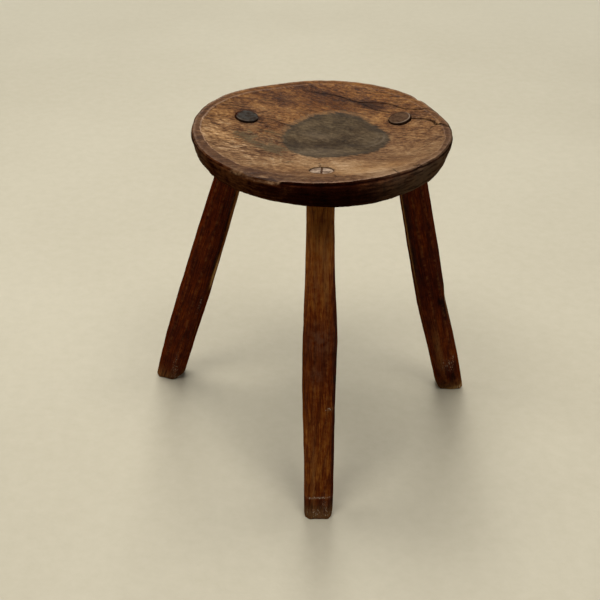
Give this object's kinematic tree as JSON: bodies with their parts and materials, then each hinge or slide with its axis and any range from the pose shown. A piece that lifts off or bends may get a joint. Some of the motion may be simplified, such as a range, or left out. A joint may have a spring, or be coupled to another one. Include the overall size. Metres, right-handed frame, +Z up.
{
  "type": "three leg stool",
  "caption": "Low round wooden stool: a dished seat slab on splayed hewn legs held by round through tenons.",
  "frame": {"origin": "middle of the stool's footprint box, on the floor", "axes": "+Z up; -Y out of the stool towards its front leg; +X along the seat's grain, towards the right leg's side"},
  "size_m": [0.439, 0.3444, 0.4345],
  "materials": {
    "seat_wood": "old worn hardwood with a dull waxed sheen",
    "leg_wood": "dark reddish brown hewn wood, satin",
    "wedge_wood": "pale bare end grain"
  },
  "bodies": {
    "root": {"seat": "seat_wood", "front_leg": "leg_wood", "left_leg": "leg_wood", "right_leg": "leg_wood", "front_wedge": "wedge_wood"}
  },
  "joints": []
}
